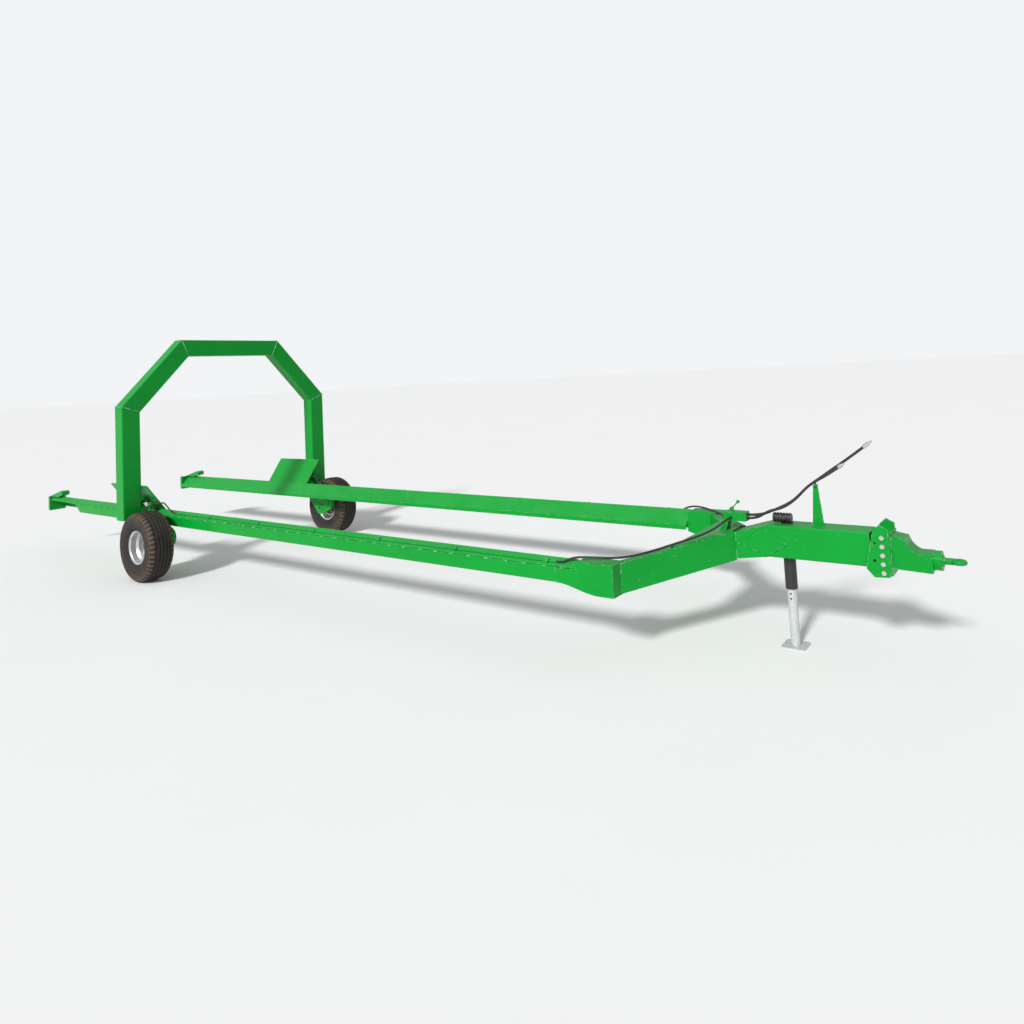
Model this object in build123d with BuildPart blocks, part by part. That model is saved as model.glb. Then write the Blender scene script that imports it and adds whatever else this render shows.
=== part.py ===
"""Self-loading in-line bale carrier: two rails, an open arch and an A-shaped drawbar on swing-arm wheels.

X runs forward to the hitch, Y to the left, Z up.  The origin is on the ground under the middle of the whole
carrier.  Paired pieces are shaped on the left side and mirrored to the right.
All sizes are in millimetres.
"""
import os
from math import atan2, cos, hypot, pi, radians, sin, tan

from build123d import *

os.makedirs("parts", exist_ok=True)

# ---- overall ------------------------------------------------------------------------------------------------
overall_length = 12950
overall_width = 3200                    # over the tyres
overall_height = 3130                   # top of the arch
rear_reach = 3450                       # rear hooks behind the front face of the arch
arch_x = rear_reach - overall_length / 2
front_x = overall_length / 2            # tip of the towing eye
run_gap = 0.05                          # radial clearance of a running fit
arm_to_tyre = 25
arm_to_rail = 28

# ---- wheels -------------------------------------------------------------------------------------------------
tyre_r = 440
tyre_width = 310
wheel_mid = overall_width / 2 - tyre_width / 2
bead_r = 194.3
flange_r = 213
rim_half = 122
rim_plate = 5
well_r = 168
disc_thick = 8
disc_y = wheel_mid - 57
disc_bore_r = 80.5
hub_r = 62
hub_flange_r = 128
hub_flange_thick = 12
hub_out = wheel_mid + 10
stud_circle = 102.5                     # radius
stud_count = 6
stud_r = 9
nut_r = 15

# ---- wheel arms ---------------------------------------------------------------------------------------------
arm_thick = 60
arm_out = wheel_mid - tyre_width / 2 - arm_to_tyre
arm_in = arm_out - arm_thick
arm_mid = arm_in + arm_thick / 2
pivot_x = arch_x - 50
pivot_z = 800
pivot_pin_r = 30
pivot_boss_r = 70
axle_x = arch_x + 330
axle_z = tyre_r
axle_boss_r = 100
toe_x = arch_x + 500
toe_z = axle_z + 80
toe_r = 110
boss_rise = 8                           # bosses stand this far off the arm's inner face
arm_travel = 46.8                       # degrees that the wheel swings up, which lets the frame down
lever_length = 120
lever_thick = 20
lever_eye_r = 32
lever_root_r = 42
stub_r = 30

# ---- rails --------------------------------------------------------------------------------------------------
rail_out = arm_in - arm_to_rail         # outer face from the centre plane
rail_bottom = 645
rail_height = 122
rail_width = 80
rail_wall = 8
rail_top = rail_bottom + rail_height
ridge_y = rail_out - 77
ridge_z = rail_top + 65
lip_y = rail_out - 227
lip_z = rail_top - 77
lip_drop = 46
strip_thick = 8
strip_foot = 7                          # height of the strip's outer corner over the beam
rail_rear = arch_x - rear_reach + 50
beam_rear = arch_x - 2380               # the beams stop short of the hooks with a slanted cut
beam_slant = 180

# ---- corner posts and drawbar -------------------------------------------------------------------------------
post_front = front_x - 2330
rail_front = post_front - 550           # rails end in the corner posts
strip_front = post_front - 365
post_width = 180
post_bottom = rail_bottom - 65
post_wall = 10
leg_y = rail_out - 127                  # where the leg's front face meets the post's front plane
leg_thick = 120
leg_height = 240
leg_wall = 10
leg_rise = 105
kink_x = front_x - 1720
tongue_width = 250
tongue_top = 1002
tongue_bottom = 740
tongue_wall = 10
tongue_start = front_x - 1450
tongue_end = front_x - 640
elbow_drop = 80
gusset_thick = 10

# ---- arch ---------------------------------------------------------------------------------------------------
arch_half = overall_width / 2 - 30      # outer half width at the legs
arch_top = overall_height
arch_shoulder = arch_top - 890
arch_top_half = arch_half - 810
arch_foot = 750
arch_width = 230                        # section, seen from the front
arch_depth = 200                        # section along X
arch_wall = 8
arch_corner = 14
leg_inner = arch_half - arch_width

# ---- side plates --------------------------------------------------------------------------------------------
side_plate_rear = arch_x - 870
side_plate_front = arch_x + 150
side_plate_thick = 10
side_plate_top = 1180

# ---- lift cylinders -----------------------------------------------------------------------------------------
base_pin_x = arch_x - 740
base_pin_r = 12.5
cylinder_r = 40
cylinder_bore = 30
cylinder_rear = base_pin_x + 40
cylinder_front = arch_x - 190
gland_length = 20
rod_r = 17
rod_pin_r = 12
pin_float = 7                           # radial clearance of the lever eye round the rod pin
lug_thick = 12
half_swing = radians(arm_travel / 2)
lever_x = pivot_x + lever_length * sin(half_swing)
lever_z = pivot_z + lever_length * cos(half_swing)
rod_z = pivot_z + lever_length * (1 + cos(half_swing)) / 2

# ---- hitch --------------------------------------------------------------------------------------------------
hitch_plate_thick = 20
bolt_x = front_x - 548
bolt_pitch = 66
bolt_low = tongue_bottom - 28
bolt_count = 5
bolt_r = 12
bolt_head_r = 19
head_half = 100
head_rear = front_x - 600
head_step = front_x - 490
head_front = front_x - 220
head_wall = 20
collar_front = head_front + 60
collar_r = 72
eye_z = 808
eye_ring_r = 38
eye_section_r = 17
eye_bore_r = 25                         # turned true, so that a pin bears on a short cylindrical wall
eye_x = front_x - eye_ring_r - eye_section_r
shank_r = 25

# ---- jack ---------------------------------------------------------------------------------------------------
jack_x = front_x - 1310
jack_out_r = 49.5
jack_leg_r = 38.5
jack_tube_bottom = 470
jack_tube_top = tongue_top + 10
jack_leg_top = 610
foot_size = 200
foot_thick = 10
jack_head_r = 36
jack_head_length = 150

# ---- hydraulics ---------------------------------------------------------------------------------------------
pipe_r = 9
hose_r = 9
supply_r = 11
pipe_rear = arch_x + 500
pipe_front = strip_front - 190
clamp_count = 6
clamp_length = 24
stand_x = front_x - 1052
stand_top = 1337
valve_rear = kink_x - 130
valve_front = kink_x + 70
valve_top = 1075
valve_low = 1000
lever_pin_r = 4


def save(builder, name):
    """Label one finished piece and write it as its own STEP."""
    builder.part.label = name
    export_step(builder.part, f"parts/{name}.step")


def save_pair(builder, name):
    """Write the left piece as it is and the right piece as its mirror image."""
    save(builder, f"left_{name}")
    with BuildPart() as other:
        mirror(builder.part, about=Plane.XZ)
    save(other, f"right_{name}")


def across(x):
    """The plane across the carrier at x, with Y and Z as its own axes.  A positive extrude goes forward."""
    return Plane(origin=(x, 0, 0), x_dir=(0, 1, 0), z_dir=(1, 0, 0))


def lengthways(y):
    """The upright plane at y, with X and Z as its own axes.  A positive extrude goes to the right, to -Y."""
    return Plane(origin=(0, y, 0), x_dir=(1, 0, 0), z_dir=(0, -1, 0))


def axle_plane(y, x, z):
    """The lengthways plane at y with its origin on a pivot or axle line."""
    return Plane(origin=(x, y, z), x_dir=(1, 0, 0), z_dir=(0, 1, 0))


def disc(y_from, y_to, x, z, radius):
    """Add a round bar between two y stations on an axle line."""
    with BuildSketch(axle_plane(y_from, x, z)) as section:
        Circle(radius)
    extrude(section.sketch, amount=y_to - y_from)


def bored(y_from, y_to, x, z, radius):
    """Cut a round hole between two y stations on an axle line."""
    with BuildSketch(axle_plane(y_from, x, z)) as section:
        Circle(radius)
    extrude(section.sketch, amount=y_to - y_from, mode=Mode.SUBTRACT)


def corner_radii(points, label):
    """Arc radius at each inner point of a route: 0.45 of the shorter run over the tangent of half the turn."""
    radii = []
    for before, here, after in zip(points, points[1:], points[2:]):
        run_in = Vector(*here) - Vector(*before)
        run_out = Vector(*after) - Vector(*here)
        half_turn = radians(run_in.get_angle(run_out) / 2)
        radii.append(0.45 * min(run_in.length, run_out.length) / tan(half_turn))
    print(label, "radii", [round(value) for value in radii])
    return radii


def swept_hose(points, radius, label):
    """A round hose or pipe through hand-chosen points, as straight runs joined by tangent arcs."""
    radii = corner_radii(points, label)
    with BuildPart() as tube:
        with BuildLine() as route:
            FilletPolyline(*points, radius=radii)
        path = route.wires()[0]
        with BuildSketch(Plane(origin=path @ 0, z_dir=path % 0)):
            Circle(radius)
        sweep(path=path)
    ratio = tube.part.volume / (pi * radius**2 * path.length)
    print(f"{label}: length {path.length:.0f} mm, volume ratio {ratio:.4f}")
    return tube


# ---- rail beams ---------------------------------------------------------------------------------------------
rail_middle = (rail_out - rail_width / 2, rail_bottom + rail_height / 2)
with BuildPart() as rail:
    with BuildSketch(across(rail_rear)):
        with Locations(rail_middle):
            RectangleRounded(rail_width, rail_height, 10)
            RectangleRounded(rail_width - 2 * rail_wall, rail_height - 2 * rail_wall, 3, mode=Mode.SUBTRACT)
    extrude(amount=rail_front - rail_rear)
    slanted_end = Plane(origin=(beam_rear, 0, rail_middle[1]), z_dir=(rail_height, 0, beam_slant))
    split(bisect_by=slanted_end, keep=Keep.TOP)
save_pair(rail, "rail_beam")

# ---- bale strips: outer slope, ridge, bearing face and lip, folded from one plate ---------------------------
strip_outer = (rail_out - 6, rail_top + strip_foot)
strip_line = [strip_outer, (ridge_y, ridge_z), (lip_y, lip_z), (lip_y, lip_z - lip_drop)]
with BuildPart() as strip:
    with BuildSketch(across(rail_rear)):
        with BuildLine():
            folded = Polyline(*strip_line)
            offset(folded, amount=strip_thick, side=Side.LEFT)
        make_face()
    extrude(amount=strip_front - rail_rear)
save_pair(strip, "bale_strip")

# ---- rear hooks: an end block on each strip and a forward-leaning horn above the ridge ----------------------
hook_rear = arch_x - rear_reach
horn_width = 110
block_points = [
    (rail_rear, ridge_z),
    (hook_rear, ridge_z),
    (hook_rear, lip_z - lip_drop),
    (hook_rear + 25, lip_z - lip_drop - 35),
    (rail_rear, lip_z - lip_drop - 35),
]
horn_points = [
    (hook_rear, ridge_z),
    (hook_rear + 400, ridge_z + 100),
    (hook_rear + 445, ridge_z + 84),
    (hook_rear + 450, ridge_z + 36),
    (hook_rear + 290, ridge_z),
]
with BuildPart() as hook:
    with BuildSketch(lengthways(rail_out)):
        with BuildLine():
            Polyline(*block_points, close=True)
        make_face()
    extrude(amount=rail_out - lip_y)
    with BuildSketch(lengthways(rail_out - 22)):
        with BuildLine():
            Polyline(*horn_points, close=True)
        make_face()
    extrude(amount=horn_width)
with BuildPart() as hooks:
    add(hook.part)
    mirror(hook.part, about=Plane.XZ)
save(hooks, "rail_hooks")

# ---- corner posts: deeper than the beam, with a curved run-out below ----------------------------------------
post_in = rail_out - post_width
with BuildPart() as post:
    with BuildSketch(lengthways(rail_out)):
        with BuildLine():
            Line((rail_front, rail_bottom), (rail_front, rail_top))
            Line((rail_front, rail_top), (strip_front, rail_top))
            Line((strip_front, rail_top), (strip_front, ridge_z - 30))
            RadiusArc((strip_front, ridge_z - 30), (strip_front + 30, ridge_z), 30)
            Line((strip_front + 30, ridge_z), (post_front, ridge_z))
            Line((post_front, ridge_z), (post_front, post_bottom))
            Line((post_front, post_bottom), (post_front - 130, post_bottom))
            Spline(
                (post_front - 130, post_bottom),
                (rail_front, rail_bottom),
                tangents=[(-1, 0), (-1, 0)],
            )
        make_face()
    extrude(amount=post_width)
    with BuildSketch(across(rail_front)):
        with Locations((post_in + (post_width - rail_width) / 2, rail_bottom)):
            Rectangle(post_width - rail_width, 2 * rail_height + 400)
    extrude(amount=strip_front - rail_front, mode=Mode.SUBTRACT)
    with BuildSketch(across(rail_front)):
        with Locations(rail_middle):
            Rectangle(rail_width - 2 * post_wall, rail_height - 2 * post_wall)
    extrude(amount=post_front - post_wall - rail_front, mode=Mode.SUBTRACT)
    with BuildSketch(across(strip_front + post_wall)):
        with Locations((rail_out - post_width / 2, (ridge_z + rail_bottom) / 2)):
            Rectangle(post_width - 2 * post_wall, ridge_z - rail_bottom - 2 * post_wall)
    extrude(amount=post_front - strip_front - 2 * post_wall, mode=Mode.SUBTRACT)
save_pair(post, "corner_post")

# ---- drawbar legs: from the posts in and up to the elbow ----------------------------------------------------
elbow_half = tongue_width / 2
leg_dx = kink_x - post_front
leg_dy = leg_y - elbow_half
leg_span = hypot(leg_dx, leg_dy)
along_leg = (leg_dx / leg_span, -leg_dy / leg_span, 0)
leg_back = 300                          # the leg runs back along the post's inner face
leg_slope = leg_rise / leg_span
leg_over = 60
leg_top_z = post_bottom + 4 + leg_height
top_slope = leg_rise / leg_dx           # the legs' tops are planed to one slope, so that the gusset lies flat
cavity_drop = 20
leg_start_z = (post_bottom + 4) - leg_back * leg_slope
leg_end_z = (post_bottom + 4) + (leg_span + leg_over) * leg_slope
leg_plane = Plane(
    origin=(post_front, leg_y, 0),
    x_dir=along_leg,
    z_dir=(along_leg[1], -along_leg[0], 0),
)
with BuildPart() as leg:
    with BuildSketch(leg_plane):
        with BuildLine():
            Polyline(
                (-leg_back, leg_start_z),
                (leg_span + leg_over, leg_end_z),
                (leg_span + leg_over, leg_end_z + leg_height),
                (-leg_back, leg_start_z + leg_height),
                close=True,
            )
        make_face()
    extrude(amount=leg_thick)
    with BuildSketch(leg_plane.offset(leg_wall)):
        with BuildLine():
            Polyline(
                (-leg_back + leg_wall, leg_start_z + leg_wall),
                (leg_span + leg_over, leg_end_z + leg_wall),
                (leg_span + leg_over, leg_end_z + leg_height - leg_wall - cavity_drop),
                (-leg_back + leg_wall, leg_start_z + leg_height - leg_wall - cavity_drop),
                close=True,
            )
        make_face()
    extrude(amount=leg_thick - 2 * leg_wall, mode=Mode.SUBTRACT)
    with BuildSketch(Plane.XY):
        with Locations((post_front - 500, post_in + 500)):
            Rectangle(1000, 1000)
    extrude(amount=ridge_z + 400, mode=Mode.SUBTRACT)
    split(bisect_by=Plane(origin=(0, elbow_half, 0), z_dir=(0, 1, 0)), keep=Keep.TOP)
    split(bisect_by=Plane(origin=(post_front, 0, leg_top_z), z_dir=(-top_slope, 0, 1)), keep=Keep.BOTTOM)
save_pair(leg, "drawbar_leg")

# ---- elbow and tongue ---------------------------------------------------------------------------------------
elbow_start = kink_x - 140
elbow_points = [
    (elbow_start, tongue_bottom - elbow_drop + 20),
    (tongue_start, tongue_bottom),
    (tongue_start, tongue_top),
    (kink_x, tongue_top - elbow_drop),
    (elbow_start, tongue_top - elbow_drop - 30),
]
elbow_cavity = [
    (elbow_start + tongue_wall, tongue_bottom - elbow_drop + 20 + 1.6 * tongue_wall),
    (tongue_start, tongue_bottom + tongue_wall),
    (tongue_start, tongue_top - tongue_wall),
    (kink_x, tongue_top - elbow_drop - tongue_wall),
    (elbow_start + tongue_wall, tongue_top - elbow_drop - 30 - tongue_wall),
]
with BuildPart() as elbow:
    with BuildSketch(lengthways(elbow_half)):
        with BuildLine():
            Polyline(*elbow_points, close=True)
        make_face()
    extrude(amount=tongue_width)
    with BuildSketch(lengthways(elbow_half - tongue_wall)):
        with BuildLine():
            Polyline(*elbow_cavity, close=True)
        make_face()
    extrude(amount=tongue_width - 2 * tongue_wall, mode=Mode.SUBTRACT)
save(elbow, "drawbar_elbow")

tongue_height = tongue_top - tongue_bottom
tongue_middle = (0, tongue_bottom + tongue_height / 2)
inner_width = tongue_width - 2 * tongue_wall
inner_height = tongue_height - 2 * tongue_wall
with BuildPart() as tongue:
    with BuildSketch(across(tongue_start)):
        with Locations(tongue_middle):
            RectangleRounded(tongue_width, tongue_height, 16)
            RectangleRounded(inner_width, inner_height, 6, mode=Mode.SUBTRACT)
    extrude(amount=tongue_end - tongue_start)
    with BuildSketch(Plane.XY.offset(tongue_bottom - 50)):
        with Locations((jack_x, 0)):
            Circle(jack_out_r)
    extrude(amount=tongue_height + 100, mode=Mode.SUBTRACT)
save(tongue, "tongue_beam")

# ---- gusset plate over the legs, and the diamond fishplates over the elbow joint ----------------------------
gusset_rear = kink_x - 330
gusset_mid_z = leg_top_z + (gusset_rear - post_front) * top_slope
gusset_front_z = leg_top_z + leg_rise
gusset_half = leg_y - (gusset_rear - post_front) / leg_dx * leg_dy - 40
gusset_length = hypot(kink_x - gusset_rear, gusset_front_z - gusset_mid_z)
gusset_plane = Plane(
    origin=(gusset_rear, 0, gusset_mid_z),
    x_dir=(kink_x - gusset_rear, 0, gusset_front_z - gusset_mid_z),
    z_dir=(gusset_mid_z - gusset_front_z, 0, kink_x - gusset_rear),
)
with BuildPart() as gusset:
    with BuildSketch(gusset_plane):
        with BuildLine():
            Polyline(
                (0, -gusset_half),
                (gusset_length - 30, -elbow_half + 20),
                (gusset_length - 30, elbow_half - 20),
                (0, gusset_half),
                (-60, gusset_half),
                (-60, -gusset_half),
                close=True,
            )
        make_face()
    extrude(amount=gusset_thick)
save(gusset, "gusset_plate")

fishplate_thick = 10
fishplate_points = [
    (tongue_start - 250, tongue_bottom + 90),
    (tongue_start - 20, tongue_top - 30),
    (tongue_start + 175, tongue_bottom + 116),
    (tongue_start, tongue_bottom + 12),
]
with BuildPart() as fishplates:
    with BuildSketch(lengthways(elbow_half + fishplate_thick)):
        with BuildLine():
            Polyline(*fishplate_points, close=True)
        make_face()
    extrude(amount=fishplate_thick)
    mirror(about=Plane.XZ)
save(fishplates, "fishplates")

# ---- arch: five mitred box-section members ------------------------------------------------------------------
arch_mid_x = arch_x - arch_depth / 2
foot_point = Vector(0, arch_half, arch_foot)
shoulder_point = Vector(0, arch_half, arch_shoulder)
top_point = Vector(0, arch_top_half, arch_top)
crown_point = Vector(0, -arch_top_half, arch_top)


def member_frame(start, end):
    """Plane whose normal runs along an arch member, on the middle line of its section."""
    run = (end - start).normalized()
    inward = Vector(0, -run.Z, run.Y)
    middle = start + inward * (arch_width / 2)
    return Plane(origin=(arch_mid_x, middle.Y, middle.Z), x_dir=(1, 0, 0), z_dir=run)


def mitre(before, corner, after):
    """Plane through a corner that halves the angle between two members, facing along the first."""
    run_in = (corner - before).normalized()
    run_out = (after - corner).normalized()
    return Plane(origin=corner, z_dir=run_in + run_out)


def box_section(start, end, overrun_start, overrun_end):
    """Add a hollow box section from start to end, longer at its ends so that mitres can trim it."""
    with BuildSketch(member_frame(start, end).offset(-overrun_start)) as section:
        RectangleRounded(arch_depth, arch_width, arch_corner)
        RectangleRounded(arch_depth - 2 * arch_wall, arch_width - 2 * arch_wall, 6, mode=Mode.SUBTRACT)
    extrude(section.sketch, amount=(end - start).length + overrun_start + overrun_end)


shoulder_mitre = mitre(foot_point, shoulder_point, top_point)
top_mitre = mitre(shoulder_point, top_point, crown_point)
with BuildPart() as arch_leg:
    box_section(foot_point, shoulder_point, 0, arch_width)
    split(bisect_by=shoulder_mitre, keep=Keep.BOTTOM)
    with BuildSketch(member_frame(foot_point, shoulder_point)):
        RectangleRounded(arch_depth, arch_width, arch_corner)
    extrude(amount=arch_wall)
save_pair(arch_leg, "arch_leg")

with BuildPart() as brace:
    box_section(shoulder_point, top_point, arch_width, arch_width)
    split(bisect_by=shoulder_mitre, keep=Keep.TOP)
    split(bisect_by=top_mitre, keep=Keep.BOTTOM)
with BuildPart() as braces:
    add(brace.part)
    mirror(brace.part, about=Plane.XZ)
save(braces, "arch_braces")

with BuildPart() as top_beam:
    box_section(top_point, crown_point, arch_width, arch_width)
    split(bisect_by=top_mitre, keep=Keep.TOP)
    split(bisect_by=mitre(top_point, crown_point, Vector(0, -arch_half, arch_shoulder)), keep=Keep.BOTTOM)
save(top_beam, "arch_top_beam")

# ---- sloped side plates from the ridge up to the arch leg ---------------------------------------------------
plate_run = Vector(leg_inner - ridge_y, side_plate_top - ridge_z).normalized()
plate_section = [
    (ridge_y, ridge_z + 2),
    (leg_inner, side_plate_top),
    (leg_inner, side_plate_top - side_plate_thick / plate_run.X),
    (ridge_y + 9, ridge_z + 12 - side_plate_thick / plate_run.X),
]
with BuildPart() as side_plate:
    with BuildSketch(across(side_plate_rear)):
        with BuildLine():
            Polyline(*plate_section, close=True)
        make_face()
    extrude(amount=side_plate_front - side_plate_rear)
save_pair(side_plate, "side_plate")

# ---- arm brackets, pivot pins and cylinder lugs -------------------------------------------------------------
bracket_thick = 18
bracket_top = pivot_z + 50
lug_gap = 13.5                          # lug face to the cylinder's middle plane
lug_top_r = 26
shelf_top = rod_z - 103
shelf_thick = 12
shelf_half = 60
with BuildPart() as brackets:
    with BuildSketch(lengthways(rail_out + bracket_thick)):
        with BuildLine():
            Polyline(
                (pivot_x - 110, rail_bottom + 4),
                (pivot_x + 110, rail_bottom + 4),
                (pivot_x + 60, bracket_top),
                (pivot_x - 60, bracket_top),
                close=True,
            )
        make_face()
    extrude(amount=bracket_thick)
    disc(arm_out + 10, leg_inner, pivot_x, pivot_z, pivot_pin_r + 18)
    bored(rail_out - 5, leg_inner + 5, pivot_x, pivot_z, pivot_pin_r)
    with BuildSketch(lengthways(rail_out + shelf_thick)):
        with Locations((base_pin_x, (rail_bottom + 35 + shelf_top) / 2)):
            Rectangle(2 * shelf_half, shelf_top - rail_bottom - 35)
    extrude(amount=shelf_thick)
    with BuildSketch(lengthways(arm_out + 5)):
        with Locations((base_pin_x, shelf_top - shelf_thick / 2)):
            Rectangle(2 * shelf_half, shelf_thick)
    extrude(amount=arm_out + 5 - rail_out)
    for lug_y in (arm_mid - lug_gap, arm_mid + lug_gap + lug_thick):
        with BuildSketch(lengthways(lug_y)):
            with Locations((base_pin_x, rod_z)):
                Circle(lug_top_r)
            with Locations((base_pin_x, (shelf_top + rod_z) / 2)):
                Rectangle(2 * lug_top_r, rod_z - shelf_top)
        extrude(amount=lug_thick)
    bored(arm_in, arm_out, base_pin_x, rod_z, base_pin_r)
    mirror(about=Plane.XZ)
save(brackets, "arm_brackets")

with BuildPart() as pins:
    disc(rail_out, leg_inner, pivot_x, pivot_z, pivot_pin_r)
    disc(arm_in + 2, arm_out - 2, base_pin_x, rod_z, base_pin_r)
    mirror(about=Plane.XZ)
save(pins, "pivot_pins")

# ---- wheel arms with their levers ---------------------------------------------------------------------------
with BuildPart() as arm:
    with BuildSketch(lengthways(arm_out)):
        with Locations((pivot_x, pivot_z)):
            Circle(pivot_boss_r)
        with Locations((axle_x, axle_z)):
            Circle(axle_boss_r)
        with Locations((toe_x, toe_z)):
            Circle(toe_r)
        make_hull()
    extrude(amount=arm_thick)
    disc(arm_in - boss_rise, arm_in, toe_x, toe_z, 58)
    disc(arm_in - boss_rise, arm_in, axle_x, axle_z, 66)
    with BuildSketch(lengthways(arm_mid + lever_thick / 2)):
        with Locations((pivot_x, pivot_z)):
            Circle(lever_root_r)
        with Locations((lever_x, lever_z)):
            Circle(lever_eye_r)
        make_hull()
    extrude(amount=lever_thick)
    bored(arm_in - 20, arm_out + 20, pivot_x, pivot_z, pivot_pin_r + run_gap)
    bored(arm_in - 20, arm_out + 20, axle_x, axle_z, stub_r)
    bored(arm_in - 20, arm_out + 20, lever_x, lever_z, rod_pin_r + pin_float)
save_pair(arm, "wheel_arm")

# ---- lift cylinders -----------------------------------------------------------------------------------------
port_length = 30
port_y = arm_in - 17
port_x = cylinder_front
port_z = rod_z - 10
clevis_gap = lever_thick / 2 + 0.5
ear_thick = 14
with BuildPart() as barrel:
    with BuildSketch(Plane(origin=(cylinder_rear, arm_mid, rod_z), x_dir=(0, 1, 0), z_dir=(1, 0, 0))):
        Circle(cylinder_r)
    extrude(amount=cylinder_front - cylinder_rear)
    with BuildSketch(lengthways(arm_mid + lug_gap - 1.5)):
        with Locations((base_pin_x, rod_z)):
            Circle(lug_top_r)
        with Locations(((base_pin_x + cylinder_rear) / 2, rod_z)):
            Rectangle(cylinder_rear - base_pin_x + 2, 1.6 * lug_top_r)
    extrude(amount=2 * (lug_gap - 1.5))
    with BuildSketch(Plane(origin=(port_x - port_length, arm_mid - 25, port_z), x_dir=(0, 1, 0), z_dir=(1, 0, 0))):
        Rectangle(2 * (arm_mid - 25 - port_y) + 2 * hose_r, 2 * hose_r + 8)
    extrude(amount=port_length)
    with BuildSketch(Plane(origin=(cylinder_rear + 12, arm_mid, rod_z), x_dir=(0, 1, 0), z_dir=(1, 0, 0))):
        Circle(cylinder_bore)
    extrude(amount=cylinder_front - cylinder_rear - 12 - gland_length, mode=Mode.SUBTRACT)
    with BuildSketch(Plane(origin=(cylinder_front, arm_mid, rod_z), x_dir=(0, 1, 0), z_dir=(1, 0, 0))):
        Circle(rod_r + run_gap)
    extrude(amount=-gland_length, mode=Mode.SUBTRACT)
    bored(arm_in, arm_out, base_pin_x, rod_z, base_pin_r)
save_pair(barrel, "cylinder_barrel")

piston_front = cylinder_front - gland_length - 8
piston_length = 35
clevis_back = 62
with BuildPart() as rod:
    with BuildSketch(Plane(origin=(piston_front - piston_length, arm_mid, rod_z), x_dir=(0, 1, 0), z_dir=(1, 0, 0))):
        Circle(cylinder_bore - run_gap)
    extrude(amount=piston_length)
    with BuildSketch(Plane(origin=(piston_front, arm_mid, rod_z), x_dir=(0, 1, 0), z_dir=(1, 0, 0))):
        Circle(rod_r)
    extrude(amount=lever_x - clevis_back - 20 - piston_front)
    with BuildSketch(lengthways(arm_mid + clevis_gap + ear_thick)):
        with Locations((lever_x - clevis_back - 10, rod_z)):
            Rectangle(20, 52)
    extrude(amount=2 * (clevis_gap + ear_thick))
    for ear_y in (arm_mid - clevis_gap, arm_mid + clevis_gap + ear_thick):
        with BuildSketch(lengthways(ear_y)):
            with Locations((lever_x, rod_z)):
                Circle(26)
            with Locations((lever_x - clevis_back / 2 - 5, rod_z)):
                Rectangle(clevis_back + 10, 52)
        extrude(amount=ear_thick)
    bored(arm_in, arm_out, lever_x, rod_z, rod_pin_r)
save_pair(rod, "cylinder_rod")

with BuildPart() as rod_pin:
    disc(arm_in + 3, arm_out - 3, lever_x, rod_z, rod_pin_r)
save_pair(rod_pin, "rod_pin")

# ---- stub axles, hubs, rims, tyres and nuts -----------------------------------------------------------------
wheel_axis = Axis((axle_x, 0, axle_z), (0, 1, 0))
wheel_plane = Plane(origin=(axle_x, wheel_mid, axle_z), x_dir=(0, 1, 0), z_dir=(1, 0, 0))
hub_in = arm_out + 35
with BuildPart() as stub:
    disc(arm_in - boss_rise, hub_out - 25, axle_x, axle_z, stub_r)
save_pair(stub, "stub_axle")

with BuildPart() as hub:
    disc(hub_in, hub_out, axle_x, axle_z, hub_r)
    disc(disc_y - hub_flange_thick, disc_y, axle_x, axle_z, hub_flange_r)
    bored(hub_in, hub_out - 15, axle_x, axle_z, stub_r + run_gap)
    with BuildSketch(axle_plane(disc_y - 30, axle_x, axle_z)):
        with PolarLocations(stud_circle, stud_count):
            Circle(stud_r)
    extrude(amount=60, mode=Mode.SUBTRACT)
save_pair(hub, "hub")

flange_step = 6
rim_line = [
    (-rim_half, flange_r),
    (-rim_half + flange_step, flange_r),
    (-rim_half + 2 * flange_step, bead_r + 4),
    (-rim_half + 16, bead_r),
    (-80, bead_r),
    (-62, well_r),
    (18, well_r),
    (44, bead_r),
    (rim_half - 16, bead_r),
    (rim_half - 2 * flange_step, bead_r + 4),
    (rim_half - flange_step, flange_r),
    (rim_half, flange_r),
]
with BuildPart() as rim:
    with BuildSketch(wheel_plane):
        with BuildLine():
            tyre_side = Polyline(*rim_line)
            offset(tyre_side, amount=rim_plate, side=Side.RIGHT)
        make_face()
    revolve(axis=wheel_axis)
    disc(disc_y, disc_y + disc_thick, axle_x, axle_z, well_r - rim_plate / 2)
    bored(disc_y - 5, disc_y + disc_thick + 5, axle_x, axle_z, disc_bore_r)
    with BuildSketch(axle_plane(disc_y - 5, axle_x, axle_z)):
        with PolarLocations(stud_circle, stud_count):
            Circle(stud_r)
    extrude(amount=disc_thick + 10, mode=Mode.SUBTRACT)
save_pair(rim, "rim")

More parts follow.
